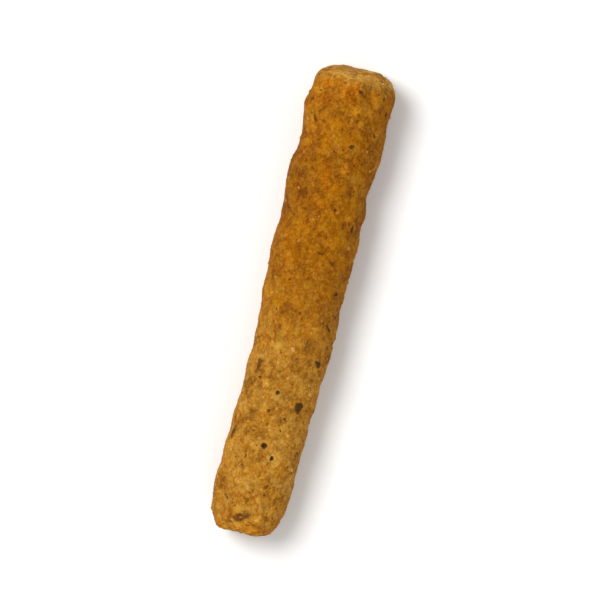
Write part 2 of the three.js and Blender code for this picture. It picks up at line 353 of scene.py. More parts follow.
# A flake's edge goes under a film of dough, unevenly
def makeFlakeMaterial():
    material, tree, shader = newMaterial("dried herb")
    mottled = placeGroup(tree, mottle, {"Cloud Size": 1.0, "Grain Size": 0.4, "Tooth Size": 0.12})
    tone = calculate(tree, "MULTIPLY_ADD", mottled["Tone"], 0.7, calculate(
        tree, "MULTIPLY_ADD", readAttribute(tree, "tint"), 0.5, -0.1))
    leaf = rampOf(tree, tone, [
        (0.15, flakeLook["dark"]), (0.85, flakeLook["light"]), (0.5, flakeLook["middle"])])
    toast = readAttribute(tree, "toast")
    leaf = mixColours(tree, 1.0, leaf, mixColours(
        tree, toast, (1.0, 1.0, 1.0, 1.0), flakeLook["toastedTinge"]), "MULTIPLY")
    plain = placeGroup(tree, crumb, {"Toast": toast})
    covered = addUp(tree, readAttribute(tree, "edge"), (mottled["Tone"], 0.6))
    shade = mixColours(tree, remap(tree, covered, 0.15, 0.95), leaf, plain["Color"])
    tree.links.new(shade, shader.inputs["Base Color"])
    tree.links.new(remap(tree, mottled["Tone"], 0.2, 0.9, 0.9, 0.7), shader.inputs["Roughness"])
    shader.inputs["Specular IOR Level"].default_value = flakeLook["gloss"]
    addBump(tree, shader, mottled["Height"], flakeLook["bump"])
    return material


gritLook = {
    "brown": colour(158, 107, 34),
    "gold": colour(182, 130, 50),
    "cream": colour(206, 158, 82),
    "bump": 0.05,
    "gloss": 0.12,
}


def makeGritMaterial():
    material, tree, shader = newMaterial("pale grit")
    mottled = placeGroup(tree, mottle, {"Cloud Size": 1.2, "Grain Size": 0.35, "Tooth Size": 0.14})
    tone = calculate(tree, "MULTIPLY_ADD", mottled["Tone"], 0.4, calculate(
        tree, "MULTIPLY", readAttribute(tree, "tint"), 0.6))
    nut = rampOf(tree, tone, [
        (0.15, gritLook["brown"]), (0.85, gritLook["cream"]), (0.5, gritLook["gold"])])
    amount = remap(tree, readAttribute(tree, "toast"), 0.0, 1.0, 0.15, 0.85)
    toasted = placeGroup(tree, patches, {
        "Under": nut, "Over": gritLook["brown"], "Amount": amount, "Patches": 0.6, "Patch Size": 2.0})
    tree.links.new(toasted["Color"], shader.inputs["Base Color"])
    tree.links.new(remap(tree, mottled["Tone"], 0.2, 0.9, 0.8, 0.55), shader.inputs["Roughness"])
    shader.inputs["Specular IOR Level"].default_value = gritLook["gloss"]
    addBump(tree, shader, mottled["Height"], gritLook["bump"])
    return material


doughMaterial = makeDoughMaterial()
flakeMaterial = makeFlakeMaterial()
gritMaterial = makeGritMaterial()
print("materials made")


# The stick's form in millimetres, as the solid has it: a rolled cylinder with two superellipse ends
form = {
    "length": 89.0,
    "radius": 7.41,
    "taper": 0.59,  # how much thicker the head's end is, and thinner the foot's
    "axisHeight": 6.68,  # half way along
    "trayBlend": 0.2,  # how softly the sides turn into the flat underside
    "foot": {"reach": 6.7, "squareness": 8, "share": 0.13},  # the share is of the whole outline
    "head": {"reach": 3.3, "squareness": 4, "share": 0.1},
    "headSlant": {"aside": 0.38, "back": 1.4, "reach": 12},
    "footSlant": {"aside": 0.38, "reach": 8.2},
    "footPress": {"depth": 0.74, "reach": 8.2},  # on the side of -Y
    "headPress": {"depth": 1.35, "reach": 5},
    "swells": [
        {"at": -31, "by": 0.34, "reach": 4},
        {"at": -22, "by": -0.1, "reach": 5},
        {"at": -9, "by": -0.11, "reach": 6},
        {"at": 8, "by": 0.27, "reach": 5.5},
        {"at": 26, "by": 0.19, "reach": 3.5},
        {"at": 32, "by": -0.12, "reach": 2.5},
        {"at": 37, "by": 0.22, "reach": 3},
    ],
    "bends": [
        {"at": -34, "by": 0.42, "reach": 6},
        {"at": -9, "by": -0.38, "reach": 6},
        {"at": 8, "by": 0.3, "reach": 6},
        {"at": 22, "by": 0.73, "reach": 4.5},
        {"at": 36, "by": 0.55, "reach": 3},
    ],
    "centring": {"along": -0.156, "aside": -0.41},
    "waves": {"count": 26, "longest": 9, "shortest": 2.4, "steepness": 0.0068},
    "pits": {"first": 0, "count": 80, "radius": (0.9, 1.8), "depth": (0.15, 0.42)},
}
half = form["length"] / 2
mmPerShare = 100  # the outline is about 100 mm long
goldenShare = 0.618034
evenSteps = (0.7548777, 0.569840291)  # their multiples fill a square evenly


def blendStep(value, low, high):
    part = np.clip((value - low) / (high - low), 0, 1)
    return part * part * (3 - 2 * part)


def bumpAt(x, bump):
    return bump["by"] * np.exp(-((x - bump["at"]) / bump["reach"]) ** 2)


def swellAt(x):  # how much more radius there is than half way along
    return form["taper"] * x / half + sum(bumpAt(x, swell) for swell in form["swells"])


def asideAt(x):  # how far the middle line lies towards +Y
    return form["centring"]["aside"] + sum(bumpAt(x, bend) for bend in form["bends"])


def nearEnd(x, end):  # from 0 to 1 over the given reach before an end
    return blendStep(x, half - end["reach"], half)


# A number from 0 to 1 that looks random, always the same for one thing and one question about it
def chance(thing, question):
    return (43758.5453 * math.sin(12.9898 * thing + 78.233 * question)) % 1


def pick(limits, thing, question):
    return limits[0] + (limits[1] - limits[0]) * chance(thing, question)


def outlineAt(t):
    t = np.clip(np.asarray(t, dtype=float), 0, 1)
    foot, head = form["foot"], form["head"]
    body = (t - foot["share"]) / (1 - foot["share"] - head["share"])
    x = foot["reach"] - half + (form["length"] - foot["reach"] - head["reach"]) * body
    radius = np.full_like(t, form["radius"])
    for end, sign, part in ((foot, -1, t / foot["share"]), (head, 1, (1 - t) / head["share"])):
        angle = np.clip(part, 0, 1) * math.pi / 2
        inEnd = part < 1
        x = np.where(inEnd, sign * (half - end["reach"] + end["reach"] * np.cos(angle)), x)
        radius = np.where(inEnd, form["radius"] * np.sin(angle) ** (2 / end["squareness"]), radius)
    return x, radius


def outlineDirection(t):
    x0, r0 = outlineAt(np.asarray(t) - 0.0001)
    x1, r1 = outlineAt(np.asarray(t) + 0.0001)
    length = np.hypot(x1 - x0, r1 - r0)
    return (x1 - x0) / length, (r1 - r0) / length


# Places spread evenly over the skin: the thing's number, its share of the outline and its turn.
# The kind may leave some degrees to each side of straight down bare.
def spreadPlaces(kind):
    places = []
    thing = kind["first"]
    bare = kind.get("bareBelow", 0)
    while len(places) < kind["count"]:
        t = (evenSteps[0] * thing + 0.03 * chance(thing, 1)) % 1
        part = (evenSteps[1] * thing + 0.05 * chance(thing, 2)) % 1
        turn = math.radians(bare - 90 + (360 - 2 * bare) * part)
        if chance(thing, 3) * form["radius"] < outlineAt(t)[1]:
            places.append((thing, t, turn))
        thing += 1
    return places


def roundTheAxis(x, radius, turn):
    return np.stack([x, radius * np.cos(turn), radius * np.sin(turn)], axis=-1)


def waveHeight(points):
    waves = form["waves"]
    k = np.arange(waves["count"])
    height = 1 - 2 * ((k * goldenShare) % 1)
    flat = np.sqrt(1 - height ** 2)
    around = k * math.pi * (3 - math.sqrt(5))
    directions = np.stack([flat * np.cos(around), flat * np.sin(around), height])
    size = waves["longest"] * (waves["shortest"] / waves["longest"]) ** ((k + 0.5) / waves["count"])
    crossing = size * np.sin(2 * math.pi * (points @ directions) / size + 1.7 * around)
    return waves["steepness"] * crossing.sum(axis=1)


def nearest(points, centre, radius):  # 1 at the centre, 0 from the radius on
    return np.maximum(0, 1 - ((points - centre) ** 2).sum(axis=1) / radius ** 2)


def pitDepth(points):
    depth = np.zeros(len(points))
    for thing, t, turn in spreadPlaces(form["pits"]):
        centre = roundTheAxis(*outlineAt(t), turn)
        near = nearest(points, centre, pick(form["pits"]["radius"], thing, 4))
        depth = np.maximum(depth, pick(form["pits"]["depth"], thing, 5) * near ** 2)
    return depth


# Points of the skin. The extra rise is outwards, before the ends are slanted and pressed.
def skinAt(t, turn, extra=0.0):
    t, turn = np.broadcast_arrays(np.asarray(t, dtype=float), np.asarray(turn, dtype=float))
    x, radius = outlineAt(t)
    alongX, alongR = outlineDirection(t)
    share = radius / form["radius"]
    sideY, sideZ = np.cos(turn), np.sin(turn)
    plain = roundTheAxis(x, radius, turn)
    rise = waveHeight(plain) - pitDepth(plain) + extra
    out = swellAt(x) * share + rise * alongX
    point = plain + np.stack([-rise * alongR, out * sideY, out * sideZ], axis=-1)

    headSlant, footSlant = form["headSlant"], form["footSlant"]
    lean = (headSlant["aside"] * sideY + headSlant["back"] * sideZ) * nearEnd(x, headSlant)
    lean = lean + footSlant["aside"] * sideY * nearEnd(-x, footSlant)
    pressed = form["headPress"]["depth"] * nearEnd(x, form["headPress"])
    pressed = pressed + form["footPress"]["depth"] * nearEnd(-x, form["footPress"])
    point[:, 0] += form["centring"]["along"] - lean * share
    point[:, 1] += asideAt(x) + pressed * np.maximum(0, -sideY) ** 2 * share
    point[:, 2] += form["taper"] * x / half
    return point


def restOnTray(z):  # a soft maximum of the height and the tray
    blend = form["trayBlend"]
    eased = (z + blend) ** 2 / (4 * blend)
    return np.where(z >= blend, z, np.where(z <= -blend, 0, eased))


def shareAt(x):  # the share of the outline where the stick has the given x
    foot, head = form["foot"], form["head"]
    footPart = (foot["reach"] - half - x) / foot["reach"]
    headPart = (head["reach"] - half + x) / head["reach"]
    if footPart > 0:
        return foot["share"] * math.acos(footPart) / (math.pi / 2)
    if headPart > 0:
        return 1 - head["share"] * math.acos(headPart) / (math.pi / 2)
    body = (x + half - foot["reach"]) / (form["length"] - foot["reach"] - head["reach"])
    return foot["share"] + (1 - foot["share"] - head["share"]) * body


def placeOnTop(x, y):  # the outline's share and the turn of a place on the upper side
    t = shareAt(x)
    return t, math.acos((y - asideAt(x)) / (float(outlineAt(t)[1]) + swellAt(x)))


def placeSeenAt(x, y):  # the same, moved so that it is seen there once the ends are slanted and pressed
    t, turn = placeOnTop(x, y)
    seen = skinAt([t], [turn])[0]
    return placeOnTop(2 * x - seen[0], 2 * y - seen[1])


trayGap = {"least": 0.1, "perReach": 0.3}  # millimetres, and more of them for what reaches further


def isClearOfTray(t, turn, reach):  # what is pressed flat on the tray would have no thickness left
    x, radius = outlineAt(t)
    height = form["axisHeight"] + form["taper"] * x / half + (radius + swellAt(x)) * math.sin(turn)
    return height > trayGap["least"] + trayGap["perReach"] * reach


# What the oven and the rolling left on the skin, finer than the solid shows. Sizes in millimetres.
relief = {
    "cell": 0.25,  # edge of the skin's triangles
    "lump": {"size": 2.6, "rise": 0.17},
    "grain": {"size": 1.05, "rise": 0.16},
    "fine": {"size": 0.55, "rise": 0.1},
    "smoother": {"size": 5.5, "from": -0.35, "to": 0.3, "least": 0.3},  # stretches with lower grains
    "footRoughness": {"reach": 3.5, "times": 0.8},  # how much rougher the foot is
    "pinholes": {"first": 5000, "count": 170, "radius": (0.28, 0.46), "depth": (0.1, 0.36)},
    "shallower": {"above": 0.4, "times": 0.6},  # scattered pinholes from 0.4 of the radius up
    "largest": 1.7,  # how many times their radius a few scattered pinholes reach
    "wobble": {"size": 0.7, "by": 0.24, "shifts": (50.3, 61.7, 73.1)},  # makes the pinholes uneven
    # The rim is a raised lip that is also painted paler as a highlight
    "rim": {"rise": 0.03, "strength": 0.7, "pale": 0.6, "fullDepth": 0.45},  # round the deeper pinholes
    # Painted shade: hollows are painted darker the deeper they are, as dark as it gets from this depth on
    "fullShadeDepth": 0.5,  # from this depth on, a hollow is as dark as it gets
    "under": {"depth": 0.05, "hollow": 0.1, "from": -0.1, "to": 0.3},  # hollows in the flat underside
}

# The clearest pinholes of the upper side: along X, across Y, radius, depth
clearHoles = [
    (-27.9, -0.15, 0.62, 0.75),
    (-17.7, -0.2, 0.52, 0.48),
    (-29.9, -2.2, 0.5, 0.5),
    (-21.4, 0.7, 0.46, 0.42),
    (-22.2, -2.7, 0.44, 0.36),
    (-23.9, 0.3, 0.44, 0.34),
    (-29.3, 1.5, 0.4, 0.26),
    (-33.0, 2.8, 0.34, 0.28),
    (-32.5, -1.7, 0.4, 0.3),
    (-36.7, -2.6, 0.42, 0.32),
    (17.7, -2.3, 0.52, 0.42),
    (29.8, -2.6, 0.48, 0.42),
    (34.8, -2.4, 0.36, 0.32),
    (37.3, -7.2, 0.48, 0.42),
    (40.1, -6.2, 0.4, 0.34),
    (40.3, -1.6, 0.52, 0.46),
    (42.0, 5.1, 0.46, 0.44),
    (37.1, 7.0, 0.4, 0.34),
]

# Cracks: place along the outline, degrees round from +Y, length, turn from the stick's length, width, depth
cracks = [
    (0.075, 66, 4.5, 84, 0.32, 0.3),
    (0.054, 104, 6.0, 97, 0.34, 0.34),
    (0.085, 142, 3.0, 70, 0.28, 0.24),
    (0.072, 10, 5.0, 100, 0.3, 0.3),
    (0.066, 196, 6.0, 80, 0.32, 0.36),
    (0.945, -25, 3.0, 82, 0.27, 0.2),
    (0.955, 228, 3.4, 98, 0.28, 0.24),
    (0.93, 200, 4.8, 75, 0.3, 0.3),
    (0.12, 88, 2.4, 20, 0.24, 0.3),
    (0.31, 150, 2.2, 35, 0.22, 0.26),
    (0.55, 30, 2.6, 160, 0.22, 0.28),
    (0.72, 110, 1.9, 12, 0.2, 0.22),
    (0.44, 12, 3.0, 8, 0.24, 0.3),
    (0.83, 160, 2.4, 150, 0.22, 0.26),
]


def crackDepth(t, turn):
    depth = np.zeros(len(t))
    radius = outlineAt(t)[1]
    for k, (place, degrees, length, slope, width, deep) in enumerate(cracks):
        a = (t - place) * mmPerShare
        b = ((turn - math.radians(degrees) + math.pi) % (2 * math.pi) - math.pi) * radius
        angle = math.radians(slope)
        along = a * math.cos(angle) + b * math.sin(angle)
        across = b * math.cos(angle) - a * math.sin(angle)
        across += 0.3 * np.sin(along * 1.9 + k) + 0.14 * np.sin(along * 4.7 + 2 * k)  # it wanders
        taper = np.maximum(0, 1 - (2 * along / length) ** 2)
        depth = np.maximum(depth, deep * taper * np.maximum(0, 1 - np.abs(across) / width) ** 0.8)
    return depth


def noiseOver(points, size, shift):
    return np.array([noise.noise((x / size + shift, y / size, z / size)) for x, y, z in points.tolist()])


def grainsOver(points, size, shift):  # domes over the cells of a Voronoi pattern
    tops = [noise.voronoi((x / size, y / size + shift, z / size))[0][0] for x, y, z in points.tolist()]
    return 0.42 - np.array(tops)


def listHoles():  # the middle, the radius and the depth of every pinhole
    holes = []
    for x, y, radius, depth in clearHoles:
        t, turn = placeSeenAt(x, y)
        holes.append((roundTheAxis(*outlineAt(t), turn), radius, depth))
    for thing, t, turn in spreadPlaces(relief["pinholes"]):
        radius = pick(relief["pinholes"]["radius"], thing, 4)
        radius *= 1 + (relief["largest"] - 1) * chance(thing, 6) ** 6
        depth = pick(relief["pinholes"]["depth"], thing, 5)
        if math.sin(turn) > relief["shallower"]["above"]:
            depth *= relief["shallower"]["times"]
        holes.append((roundTheAxis(*outlineAt(t), turn), radius, depth))
    return holes


# The depth of the pinholes, and how much of a rim there is round them from 0 to 1, a raised lip that is
# also painted paler as a highlight
def pinholesAt(points):
    wobble, rim = relief["wobble"], relief["rim"]
    uneven = [noiseOver(points, wobble["size"], shift) for shift in wobble["shifts"]]
    bent = points + wobble["by"] * np.stack(uneven, axis=-1)
    depth, rims = np.zeros(len(points)), np.zeros(len(points))
    for centre, radius, deep in listHoles():
        inside = 1 - ((bent - centre) ** 2).sum(axis=1) / radius ** 2
        depth = np.maximum(depth, deep * blendStep(inside, 0, 0.8))
        ring = blendStep(inside, -1.3, -0.4) * (1 - blendStep(inside, -0.3, 0))
        rims = np.maximum(rims, ring * min(1, deep / rim["fullDepth"]) ** 2)
    return depth, rim["strength"] * rims * (depth == 0)


# The fine rise of the skin, and how hollow it is there as painted shade: 1 deep in a hole, below 0 on a
# rim, where it is a painted highlight
def fineRise(t, turn):
    x, radius = outlineAt(t)
    points = roundTheAxis(x, radius, turn)
    smoother = relief["smoother"]
    rougher = blendStep(noiseOver(points, smoother["size"], 40), smoother["from"], smoother["to"])
    grainShare = smoother["least"] + (1 - smoother["least"]) * rougher
    lumps = relief["lump"]["rise"] * noiseOver(points, relief["lump"]["size"], 0)
    grains = relief["grain"]["rise"] * grainsOver(points, relief["grain"]["size"], 10) * grainShare
    fine = relief["fine"]["rise"] * grainsOver(points, relief["fine"]["size"], 20)
    rough = 1 + relief["footRoughness"]["times"] * nearEnd(-x, relief["footRoughness"])

    holes, rims = pinholesAt(points)
    split = crackDepth(t, turn)
    paintedHoleShade, paintedCrackShade = (np.clip(depth / relief["fullShadeDepth"], 0, 1) for depth in (holes, split))
    hollow = paintedHoleShade ** 1.4 + paintedCrackShade ** 1.2 - relief["rim"]["pale"] * rims
    rise = (lumps + grains + fine) * rough + relief["rim"]["rise"] * rims
    return rise - np.maximum(holes, split), hollow


# The second value is painted shade in the hollows and a painted highlight on the rims
def groundAt(t, turn):  # the finished skin on its tray, and how hollow it is there
    rise, hollow = fineRise(t, turn)
    points = skinAt(t, turn, rise)
    height = points[:, 2] + form["axisHeight"]
    under = relief["under"]
    texture = np.clip(-rise / under["hollow"], 0, 1) * blendStep(-height, under["from"], under["to"])
    points[:, 2] = restOnTray(height) + under["depth"] * texture
    return points, hollow


def stitchRings(faces, a, b):  # each ring is its first corner, its number of corners and its offset
    i = j = 0
    while i < a[1] or j < b[1]:
        aNext = a[2] + (i + 1) / a[1] if i < a[1] else math.inf
        bNext = b[2] + (j + 1) / b[1] if j < b[1] else math.inf
        here = (b[0] + j % b[1], a[0] + i % a[1])
        if aNext <= bNext:
            i += 1
            faces.append((*here, a[0] + i % a[1]))
        else:
            j += 1
            faces.append((*here, b[0] + j % b[1]))


def skinNet(cell):
    fineT = 0.5 - 0.5 * np.cos(np.linspace(0, math.pi, 4001))  # finest near the tips
    x, radius = outlineAt(fineT)
    run = np.concatenate([[0], np.cumsum(np.hypot(np.diff(x), np.diff(radius)))])
    rows = round(run[-1] / (cell * 0.88))  # a triangle is about 0.88 of its edge high
    rowT = np.interp(np.linspace(0, run[-1], rows + 1), run, fineT)
    t, turn, faces, rings = [], [], [], []
    for row, place in enumerate(rowT):
        isTip = row in (0, rows)
        count = 1 if isTip else max(6, round(2 * math.pi * float(outlineAt(place)[1]) / cell))
        offset = (row % 2) * 0.5 / count
        rings.append((len(t), count, offset))
        t += [place] * count
        turn += [2 * math.pi * (offset + k / count) for k in range(count)]
    for row in range(2, rows):
        stitchRings(faces, rings[row - 1], rings[row])
    for tip, ring, sign in ((rings[0], rings[1], -1), (rings[-1], rings[-2], 1)):
        around = [ring[0] + k for k in range(ring[1])]
        for here, following in zip(around, around[1:] + around[:1]):
            faces.append((tip[0], here, following) if sign > 0 else (tip[0], following, here))
    return np.array(t), np.array(turn), faces


def addPiece(name, pointsMm, faces, material, attributes):
    mesh = bpy.data.meshes.new(name)
    mesh.from_pydata((np.asarray(pointsMm) * metresPerMm).tolist(), [], faces)
    for label, values in attributes.items():
        attribute = mesh.attributes.new(label, "FLOAT", "POINT")
        attribute.data.foreach_set("value", np.asarray(values, dtype=np.float32))
    mesh.polygons.foreach_set("use_smooth", [True] * len(mesh.polygons))
    mesh.materials.append(material)
    mesh.update()
    piece = bpy.data.objects.new(name, mesh)
    bpy.context.scene.collection.objects.link(piece)
    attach(piece, "root")
    return piece


# How toasted the dough is, from 0 to 1, and below 0 on the pale rim round the head's face, a rim that is
# partly a painted highlight
toastLook = {
    "foot": {"reach": 5, "most": 0.3},
    # The head's half is darker and more orange, partly from toasting and partly as painted shade
    "head": {"from": -18, "to": 8, "most": 0.85},
    "under": {"from": 0.2, "to": 2.6, "most": 0.7},
    # The pale rim is partly the end's paler crust and partly a painted highlight where the rounded edge
    # catches light from above
    "rim": {"from": 4.4, "to": 1.4, "most": 1.0, "height": 3},  # from and to are before the head's tip
}

# Ragged places of the upper side: along X, across Y, reach along and across, and how strong
blotHeights = (1.5, 5)  # where they start to show, and where they show fully
blotPlaces = {
    "glow": [
        (40.3, 1.2, 3.0, 3.4, 1.0),
        (37.5, 4.6, 3.0, 2.4, 0.5),
        (40.6, 5.2, 2.4, 1.8, 0.7),
        (33.0, 4.5, 2.4, 2.4, 0.5),
        (23.1, 0.7, 1.5, 1.3, 1.0),
        (-43.5, 3.6, 2.0, 2.4, 0.6),
        (-42.6, -5.2, 2.6, 1.8, 0.5),
        (-43.2, -1.6, 1.4, 2.6, 0.5),
    ],
    "bright": [
        (36.6, -1.7, 1.4, 0.9, 1.0),
        (40.1, -4.3, 1.2, 1.1, 0.5),
        (40.9, 4.6, 1.6, 1.5, 0.5),
        (38.2, 1.4, 2.4, 0.7, 0.5),
        (25.3, -2.2, 0.9, 1.0, 0.8),
        (21.6, -1.1, 1.3, 0.8, 0.7),
        (18.1, 0.4, 0.9, 1.0, 0.8),
        (16.2, -2.2, 0.7, 0.7, 0.7),
        (16.9, -5.0, 1.0, 0.8, 0.7),
        (18.2, -4.1, 0.7, 0.7, 0.6),
        (20.6, -3.6, 1.1, 0.6, 0.5),
        (13.6, -3.7, 0.8, 0.8, 0.6),
        (22.7, -5.0, 0.9, 0.6, 0.6),
        (28.3, -6.2, 1.2, 0.8, 0.5),
        (27.6, 2.3, 1.6, 1.0, 0.4),
        (36.0, -5.6, 1.1, 0.8, 0.4),
        (-15.4, 2.3, 1.8, 1.6, 0.35),
        (-35.7, 2.5, 0.8, 1.6, 0.35),
        (-29.6, -3.6, 1.8, 1.2, 0.35),
        (-41.1, -2.1, 1.3, 0.7, 0.8),
        (-44.4, -3.6, 1.2, 1.6, 0.5),
        (-44.4, 2.4, 1.0, 2.2, 0.35),
        (37.6, -4.4, 2.8, 1.6, 0.4),
        (39.2, -2.9, 1.2, 1.1, 0.35),
        (43.0, -5.0, 1.4, 1.8, 0.55),
        (42.9, 3.7, 1.2, 1.6, 0.35),
        (39.8, 6.0, 2.4, 1.2, 0.3),
        (-43.5, -0.4, 1.5, 3.8, 0.65),
        (-37.4, -4.1, 5.6, 2.4, 0.42),
    ],
    "dark": [
        (-41.1, 0.2, 1.1, 1.5, 0.9),
        (-28.2, 0.0, 1.2, 1.1, 0.35),
        (-21.5, -4.9, 1.1, 0.8, 0.45),
        (-22.8, 3.5, 1.9, 1.0, 0.7),
        (-17.5, 3.4, 1.4, 0.7, 0.55),
        (-16.5, 4.9, 1.2, 0.9, 0.8),
        (-30.4, 4.1, 0.9, 0.6, 0.45),
        (-40.8, -3.7, 1.0, 0.8, 0.55),
        (-13.9, -6.2, 0.8, 0.8, 0.5),
        (-11.1, -2.5, 0.9, 0.8, 0.6),
        (-20.3, -3.1, 0.6, 0.6, 0.5),
        (-36.6, -2.8, 1.0, 0.9, 0.4),
        (-33.0, -2.7, 0.9, 0.8, 0.4),
        (19.4, -2.2, 0.9, 0.7, 0.4),
        (29.8, -2.6, 0.9, 0.9, 0.5),
        (35.0, -2.3, 1.4, 0.6, 0.5),
        (34.6, -4.0, 2.0, 0.6, 0.5),
        (41.4, -3.3, 0.7, 1.2, 0.45),
        (35.3, 1.6, 1.7, 1.1, 0.55),
        (37.6, 3.4, 1.4, 1.0, 0.35),
    ],
    # Painted shade where neighbouring sticks shade the stick, mostly on the +Y side of the head's half; the
    # last two rows darken a band near the middle
    "shade": [
        (20.5, 6.8, 11.0, 4.6, 0.9),
        (19.0, 2.0, 6.0, 2.8, 0.5),
        (25.2, 0.8, 2.2, 2.8, 0.6),
        (27.4, 3.8, 2.4, 2.0, 0.6),
        (35.0, 3.7, 2.4, 1.8, 0.5),
        (-18.4, -1.6, 2.8, 3.0, 0.6),
        (-15.8, 0.6, 2.6, 5.8, 0.6),
    ],
}


def blotsAt(points):
    x, y, z = points.T
    onTop = blendStep(z, *blotHeights)
    amounts = {}
    for name, spots in blotPlaces.items():
        amounts[name] = np.zeros(len(points))
        for atX, atY, along, across, most in spots:
            near = np.maximum(0, 1 - ((x - atX) / along) ** 2 - ((y - atY) / across) ** 2)
            amounts[name] = np.maximum(amounts[name], most * blendStep(near, 0, 0.9) * onTop)
    return amounts


def toastAt(points):
    x, _, z = points.T
    look = toastLook
    foot = look["foot"]["most"] * blendStep(-x, half - look["foot"]["reach"], half)
    head = look["head"]["most"] * blendStep(x, look["head"]["from"], look["head"]["to"])
    under = look["under"]["most"] * (1 - blendStep(z, look["under"]["from"], look["under"]["to"]))
    toast = np.maximum(np.maximum(foot, head), under)
    rim = look["rim"]["most"] * blendStep(x, half - look["rim"]["from"], half - look["rim"]["to"])
    return toast * (1 - rim) - rim * blendStep(z, 0, look["rim"]["height"])


def addDough():
    t, turn, faces = skinNet(relief["cell"])
    points, hollow = groundAt(t, turn)
    values = {"hollow": hollow, "toast": toastAt(points), **blotsAt(points)}
    dough = addPiece("dough", points, faces, doughMaterial, values)
    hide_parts("cracker_stick")
    print("dough:", len(faces), "triangles")


addDough()


# Herb flakes: thin chips that follow the skin. The large ones and the first kind are the solid's own.
flakes = {
    "corners": 14,
    "rings": ((0.28, 1), (0.55, 1), (0.8, 0.75), (0.93, 0.35), (1, -0.3)),  # share of the outline, height
    "sunk": 0.25,
    "curl": 0.04,
    "clings": 0.75,  # how closely a flake follows the dough's fine relief
    "kinds": [
        {"first": 1000, "count": 44, "long": (0.9, 1.7), "wide": (0.5, 0.85), "proud": (0.04, 0.1),
         "bareBelow": 40},
        {"first": 11000, "count": 110, "long": (0.5, 1.0), "wide": (0.3, 0.5), "proud": (0.03, 0.07)},
        {"first": 12000, "count": 200, "long": (0.3, 0.55), "wide": (0.22, 0.38), "proud": (0.03, 0.06)},
    ],
    "firstLarge": 900,
    "largeProud": 0.07,
    # Along X, across Y, length, width, degrees from X, tint, how far dough covers its middle and its edge
    "large": [
        (-41.9, 0.9, 4.2, 2.4, -57, 0.5, 1.1, 0.8),
        (-38.7, 4.4, 2.4, 1.2, 50, 0.75, 0.2, 1.4),
        (-26.9, 6.0, 2.9, 1.5, 5, 0.4, 0, 1.0),
        (-19.5, -4.6, 3.3, 2.9, 20, 0.0, 0, 1.6),
        (-13.6, 4.4, 3.6, 1.4, 3, 0.4, 0, 1.1),
        (-10.8, -6.2, 2.2, 1.6, 60, 0.2, 0, 1.3),
        (-3.9, -6.4, 2.4, 0.8, 50, 0.3, 0, 1.3),
        (7.9, -4.1, 2.0, 1.0, 65, 0.8, 0, 1.3),
        (15.0, -6.1, 2.0, 1.0, 5, 0.3, 0, 1.2),
        (33.0, -5.9, 1.5, 0.7, 30, 0.5, 0, 1.3),
        (33.5, 5.4, 2.0, 0.9, 15, 0.4, 0, 1.3),
    ],
}


# Each flake is its number, its place, its sizes, its turn from X, its ripple, its tint and its cover
def listFlakes():
    found = []
    for thing, row in enumerate(flakes["large"], flakes["firstLarge"]):
        x, y, long, wide, degrees, tint, *cover = row
        sizes = (long, wide, flakes["largeProud"])
        found.append((thing, *placeSeenAt(x, y), *sizes, math.radians(degrees), x, tint, cover))
    for kind in flakes["kinds"]:
        for thing, t, turn in spreadPlaces(kind):
            sizes = [pick(kind[name], thing, k) for k, name in enumerate(("long", "wide", "proud"), 4)]
            tint = chance(thing, 10) ** 0.5
            if isClearOfTray(t, turn, sizes[0]):
                found.append((thing, t, turn, *sizes, math.pi * chance(thing, 7), thing, tint, (0, 1.1)))
    return found


# One flake is rings of places from its middle out, with heights over the dough and shares of the outline
def flakeRings(thing, long, wide, proud, ripple):
    corners = flakes["corners"]
    around = 2 * math.pi * (np.arange(corners) + 0.3 * chance(thing, 8)) / corners
    uneven = 1 + 0.16 * np.sin(3 * around + ripple) + 0.08 * np.sin(5 * around + 3 * ripple)
    curl = flakes["curl"] * long * (chance(thing, 9) - 0.4)
    outline = np.stack([np.cos(around) * long / 2, np.sin(around) * wide / 2], axis=-1) * uneven[:, None]
    places, heights, edges = [np.zeros((1, 2))], [[proud]], [[0]]
    for share, lift in flakes["rings"]:
        ring = outline * share
        places.append(ring)
        heights.append(proud * lift + curl * (ring[:, 0] / long * 2) ** 2 * (lift > 0))
        edges.append([share ** 2.5] * corners)
    places += [outline * 0.8, np.zeros((1, 2))]
    heights.append([-flakes["sunk"]] * (corners + 1))
    edges.append([1] * (corners + 1))
    return np.concatenate(places), np.concatenate(heights), np.concatenate(edges)


def ringFaces(corners, rings, first):
    faces = []
    for k in range(corners):
        following = (k + 1) % corners
        faces.append((first, first + 1 + k, first + 1 + following))
        for ring in range(rings - 1):
            inner = first + 1 + ring * corners
            outer = inner + corners
            faces.append((inner + k, outer + k, outer + following, inner + following))
        last = first + 1 + (rings - 1) * corners
        faces.append((last + following, last + k, first + 1 + rings * corners))
    return faces


